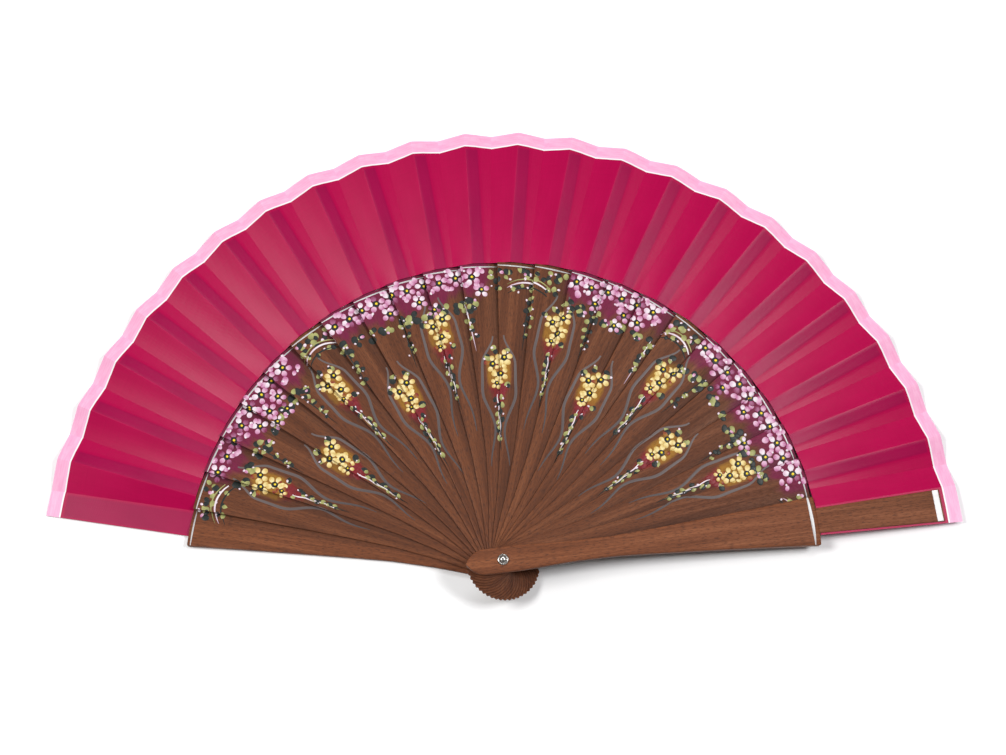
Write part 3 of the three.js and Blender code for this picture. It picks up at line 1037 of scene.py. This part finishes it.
def gore_line(k, r):
    """The cloth's section between sticks k - 1 and k as (direction, height, across) points.

    Across is measured from the ridge before the fold, and is negative after the fold.
    """
    s = sizes()
    fold, lowest = valley(k, r), 0.1 * MM
    near, far = stick_edges()
    points = []

    def run(a, b, u_a, u_b, count, swell):
        for j in range(count + 1):
            t = j / count
            u = u_a + (u_b - u_a) * t
            points.append((a[0] + (b[0] - a[0]) * t, a[1] + (b[1] - a[1]) * t + swell(t, u), u))

    def flat(t, u):
        return 0.0

    def belly(t, u):
        return -0.22 * MM * math.sin(math.pi * t)

    def over_stick(t, u):
        raised = smooth(u, near - 0.2 * MM, near + 0.4 * MM) * (1 - smooth(u, far - 0.4 * MM, far + 0.7 * MM))
        return (0.16 * raised - 0.1 * math.sin(math.pi * t)) * MM

    if k == 1:
        z = s.rear_stick_t + 0.12 * MM
        rear = Stick(0).angle
        left, right = rear + (s.rear_stick_half + 0.9 * MM) / r, rear - s.rear_stick_half / r
        run((left, z), (right, z), 0.1 * MM, 6.6 * MM, 10, flat)
        fold = (right, z)
    else:
        start = ridge(k - 1, r)
        run(start, fold, 0.0, r * Stick(0).step / 2, 14, over_stick)
    if k == LAST:
        front = Stick(LAST)
        half, _, bottom, _ = front.upper()
        z = front.middle(r) + bottom(r, 0) - 0.12 * MM - s.cloth_t
        left, right = front.angle + (half(r) + 0.9 * MM) / r, front.angle - (half(r) + 0.9 * MM) / r
        run(fold, (left, z), -r * Stick(0).step / 2, 0.0, 10, belly)
        run((left, z), (right, z), -0.1 * MM, -14 * MM, 8, flat)
    else:
        run(fold, ridge(k, r), -r * Stick(0).step / 2, 0.0, 14, flat if k == 1 else belly)
    return [(a, max(lowest, z), u) for a, z, u in points]


def build_gore(k, material):
    """One pleat of the leaf, from stick k - 1 to stick k, as a thin closed cloth."""
    s = sizes()
    start, count = s.shoulder + 0.12 * MM, 26
    vertices, across, along = [], [], []
    for i in range(count + 1):
        r = start + (s.rim - start) * i / count
        for a, z, u in gore_line(k, r):
            for lift in (s.cloth_t, 0.0):
                vertices.append((r * math.cos(a), r * math.sin(a), z + lift))
                across.append(u)
                along.append(r)
    width = len(vertices) // (count + 1) // 2
    keep = [j for j in range(width - 1)
            if math.dist(vertices[2 * j], vertices[2 * j + 2]) > 1e-7]
    faces, uvs = [], []

    def add(face, columns):
        faces.append(face)
        for index, column in zip(face, columns):
            uvs.append((across[2 * column + 2 * width * (index // (2 * width))], along[index]))

    for i in range(count):
        row = 2 * width * i
        ahead = row + 2 * width
        for j in keep:
            a, b = 2 * j, 2 * (j + 1)
            add((row + a, row + b, ahead + b, ahead + a), (j, j + 1, j + 1, j))
            add((row + a + 1, ahead + a + 1, ahead + b + 1, row + b + 1), (j, j, j + 1, j + 1))
        end = 2 * (width - 1)
        add((row, ahead, ahead + 1, row + 1), (0, 0, 0, 0))
        add((row + end, row + end + 1, ahead + end + 1, ahead + end), (width - 1,) * 4)
    for row in (0, 2 * width * count):
        for j in keep:
            a, b = row + 2 * j, row + 2 * (j + 1)
            add((a, b, b + 1, a + 1), (j, j + 1, j + 1, j))
    piece = new_object(f"leaf_pleat_{k:02d}", vertices, faces, uvs, [material])
    work = bmesh.new()
    work.from_mesh(piece.data)
    bmesh.ops.remove_doubles(work, verts=work.verts, dist=1e-6)
    bmesh.ops.recalc_face_normals(work, faces=work.faces)
    work.to_mesh(piece.data)
    work.free()
    shade(piece, 14)
    declare_gore(piece, k, start)
    return piece


def declare_gore(piece, k, start):
    """Bakes the pleat's placing into its mesh and hides the frame's own pleat. The two sticks' bodies, the
    ends at the shoulder, the widths and the area that it works out are not used.
    """
    s = sizes()
    left, right = Stick(k - 1).body, Stick(k).body
    inner = gore_line(k, start)
    fold_place = next(j for j, p in enumerate(inner) if p[2] < 0)
    fold, far = inner[fold_place], inner[-1]
    if k == LAST:
        far = inner[fold_place + 10]
    ends = [(start * math.cos(a), start * math.sin(a), 0.0) for a, z, u in (fold, far)]
    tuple(ends[0])
    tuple(ends[1])
    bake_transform(piece)
    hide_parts(f"leaf_gore_{k:02d}")

    def width_at(r):
        line = [(r * math.cos(a), r * math.sin(a), z) for a, z, u in gore_line(k, r)]
        return sum(math.dist(p, q) for p, q in zip(line, line[1:]))

    count = 12
    reach = s.rim - start
    area = sum(width_at(start + reach * (i + 0.5) / count) for i in range(count)) * reach / count
    width_at(s.rim)


# --- metal ------------------------------------------------------------------------------------
def turned(name, profile, material, sides=64):
    """A closed turned body about the rivet's axis from (radius, height) points."""
    vertices, faces = [], []
    turns = [math.tau * i / sides for i in range(sides)]
    for r, z in profile:
        vertices += [(r * math.cos(a), r * math.sin(a), z) for a in turns]
    count = len(profile)
    for p in range(count):
        a, b = p * sides, (p + 1) % count * sides
        faces += [(a + i, a + (i + 1) % sides, b + (i + 1) % sides, b + i) for i in range(sides)]
    piece = new_object(name, vertices, faces, None, [material])
    work = bmesh.new()
    work.from_mesh(piece.data)
    bmesh.ops.remove_doubles(work, verts=work.verts, dist=1e-7)
    bmesh.ops.dissolve_degenerate(work, dist=1e-7, edges=work.edges)
    bmesh.ops.recalc_face_normals(work, faces=work.faces)
    work.to_mesh(piece.data)
    work.free()
    shade(piece, 40)
    return piece


def arc(cr, cz, radius, start, end, count):
    """Points of a quarter or other part of a circle in a turned profile, angles in degrees."""
    turns = [math.radians(start + (end - start) * i / count) for i in range(count + 1)]
    return [(cr + radius * math.cos(a), cz + radius * math.sin(a)) for a in turns]


# --- operators --------------------------------------------------------------------------------
class FAN_OT_stage(Operator):
    """Set the table, the lights and the camera"""

    bl_idname = "fan.stage"
    bl_label = "Stage"

    def execute(self, context):
        scene = context.scene
        half = 3.0
        corners = [(-half, -half, -0.05 * MM), (half, -half, -0.05 * MM), (half, half, -0.05 * MM),
                   (-half, half, -0.05 * MM)]
        table = new_object("table", corners, [(0, 1, 2, 3)], None, [floor_material()])
        world = bpy.data.worlds.new("studio")
        world.use_nodes = True
        background = world.node_tree.nodes["Background"]
        background.inputs["Color"].default_value = (1.0, 1.0, 1.0, 1)
        background.inputs["Strength"].default_value = 0.12
        scene.world = world
        scene.view_settings.view_transform = "Standard"
        self.light("left", (-0.82, 0.10, 1.30), (0.5, 0.45), 15.5, (1.0, 0.99, 0.98))
        self.light("right", (0.80, 0.12, 1.30), (0.4, 0.4), 13.0, (0.99, 0.99, 1.0))
        self.light("back", (0.1, 0.95, 1.25), (0.5, 0.5), 6.0, (0.98, 0.99, 1.0))
        self.camera(scene)
        return {"FINISHED"}

    @staticmethod
    def light(name, place, size, power, tint):
        lamp = bpy.data.lights.new(name, "AREA")
        lamp.shape, lamp.energy, lamp.color = "RECTANGLE", power, tint
        lamp.size, lamp.size_y = size
        stand = bpy.data.objects.new(name, lamp)
        stand.location = place
        aim = Vector((0, 0.09, 0)) - Vector(place)
        stand.rotation_euler = aim.to_track_quat("-Z", "Y").to_euler()
        bpy.context.scene.collection.objects.link(stand)

    @staticmethod
    def camera(scene):
        lens = bpy.data.cameras.new("camera")
        lens.sensor_width, lens.lens = 36.0, 60.2
        lens.clip_start, lens.clip_end = 0.01, 20.0
        viewer = bpy.data.objects.new("camera", lens)
        target, distance, elevation = Vector((0.0, 0.09, 0.005)), 0.8, math.radians(75.3)
        viewer.location = target + distance * Vector((0, -math.cos(elevation), math.sin(elevation)))
        viewer.rotation_euler = (target - viewer.location).to_track_quat("-Z", "Y").to_euler()
        scene.collection.objects.link(viewer)
        scene.camera = viewer


class FAN_OT_ribs(Operator):
    """Make the thin ribs"""

    bl_idname = "fan.ribs"
    bl_label = "Ribs"

    def execute(self, context):
        # the ribs take the guards' wood made darker, as painted shade
        wood = wood_material("rib_wood", -0.26)
        for k in range(1, LAST):
            build_stick(k, wood, 0.22)
        return {"FINISHED"}


class FAN_OT_guards(Operator):
    """Make the two thick guards"""

    bl_idname = "fan.guards"
    bl_label = "Guards"

    def execute(self, context):
        wood = wood_material("guard_wood", 0.02)
        for k in (0, LAST):
            build_stick(k, wood, 0.55)
        return {"FINISHED"}


class FAN_OT_leaf(Operator):
    """Make the pleats of the cloth leaf"""

    bl_idname = "fan.leaf"
    bl_label = "Leaf"

    def execute(self, context):
        cloth = cloth_material()
        for k in range(1, LAST + 1):
            build_gore(k, cloth)
        return {"FINISHED"}


class FAN_OT_paint(Operator):
    """Paint the flowers, buds, tendrils and pearl lines on the sticks"""

    bl_idname = "fan.paint"
    bl_label = "Paint"

    def execute(self, context):
        materials = paint_materials()
        marks = all_marks()
        for k in range(LAST + 1):
            coat = PaintCoat(Stick(k))
            if k < LAST:
                for mark in marks:
                    coat.lay(mark)
            edge_lines(coat)
            if k == LAST:
                upper_line(coat)
            coat.build(materials)
        return {"FINISHED"}


class FAN_OT_metal(Operator):
    """Make the rivet and its two washers"""

    bl_idname = "fan.metal"
    bl_label = "Rivet and washers"

    def execute(self, context):
        metal = metal_material()
        base, top = (corner[2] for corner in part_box("front_washer"))
        pin, head, middle, gap = 1.1 * MM, 1.7 * MM, 0.02 * MM, 0.05 * MM
        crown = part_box("rivet")[1][2] - top - gap
        dome = [(head * math.cos(math.radians(a)), top + gap + crown * math.sin(math.radians(a)))
                for a in range(0, 90, 6)]
        rivet = turned("rivet_pin", [
            (middle, 0.0), (head - 0.1 * MM, 0.0), (head, 0.1 * MM), (head, 0.4 * MM), (pin, 0.4 * MM),
            (pin, top + 0.02 * MM), *dome, (middle, top + gap + crown),
        ], metal)
        bore, outer, ease = 1.4 * MM, 2.5 * MM, 0.03 * MM
        front = turned("front_cup_washer", [
            (bore, base + 0.02 * MM), *arc(2.35 * MM, base + 0.15 * MM, 0.15 * MM, -90, 0, 4),
            *arc(2.1 * MM, base + 0.02 * MM, 0.4 * MM, 25, 100, 8), (1.7 * MM, top - 0.12 * MM),
            (bore, top - 0.16 * MM),
        ], metal)
        low, high = (corner[2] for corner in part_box("rear_washer"))
        back = turned("rear_plain_washer", [
            (bore, low + ease), (bore + ease, low), (outer - 0.05 * MM, low), (outer, low + 0.05 * MM),
            (outer, high - 0.12 * MM), (outer - 0.1 * MM, high), (bore + ease, high), (bore, high - ease),
        ], metal)
        for piece, node in ((rivet, "rivet"), (front, "front_washer"), (back, "rear_washer")):
            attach(piece, "rear_guard")
            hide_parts(node)
        return {"FINISHED"}


class FAN_PT_panel(Panel):
    """The fan's makers and settings"""

    bl_idname = "FAN_PT_panel"
    bl_label = "Hand Fan"
    bl_space_type = "VIEW_3D"
    bl_region_type = "UI"
    bl_category = "Hand Fan"

    def draw(self, context):
        layout = self.layout
        for maker in MAKERS:
            layout.operator(maker.bl_idname)
        plan = context.scene.fan_plan
        for title, group in (("Sizes", sizes()), ("Colours", colours()), ("Paint plan", plan)):
            box = layout.box()
            box.label(text=title)
            for key in group.__annotations__:
                box.prop(group, key)


MAKERS = (FAN_OT_stage, FAN_OT_ribs, FAN_OT_guards, FAN_OT_leaf, FAN_OT_paint, FAN_OT_metal)
GROUPS = (FanSizes, FanColours, FanPlan)


def register():
    for item in (*GROUPS, *MAKERS, FAN_PT_panel):
        bpy.utils.register_class(item)
    bpy.types.Scene.fan_sizes = PointerProperty(type=FanSizes)
    bpy.types.Scene.fan_colours = PointerProperty(type=FanColours)
    bpy.types.Scene.fan_plan = PointerProperty(type=FanPlan)


def unregister():
    del bpy.types.Scene.fan_plan
    del bpy.types.Scene.fan_colours
    del bpy.types.Scene.fan_sizes
    for item in reversed((*GROUPS, *MAKERS, FAN_PT_panel)):
        bpy.utils.unregister_class(item)


def main():
    register()
    bpy.ops.fan.stage()
    bpy.ops.fan.ribs()
    bpy.ops.fan.guards()
    bpy.ops.fan.leaf()
    bpy.ops.fan.paint()
    bpy.ops.fan.metal()


if __name__ == "__main__":
    main()
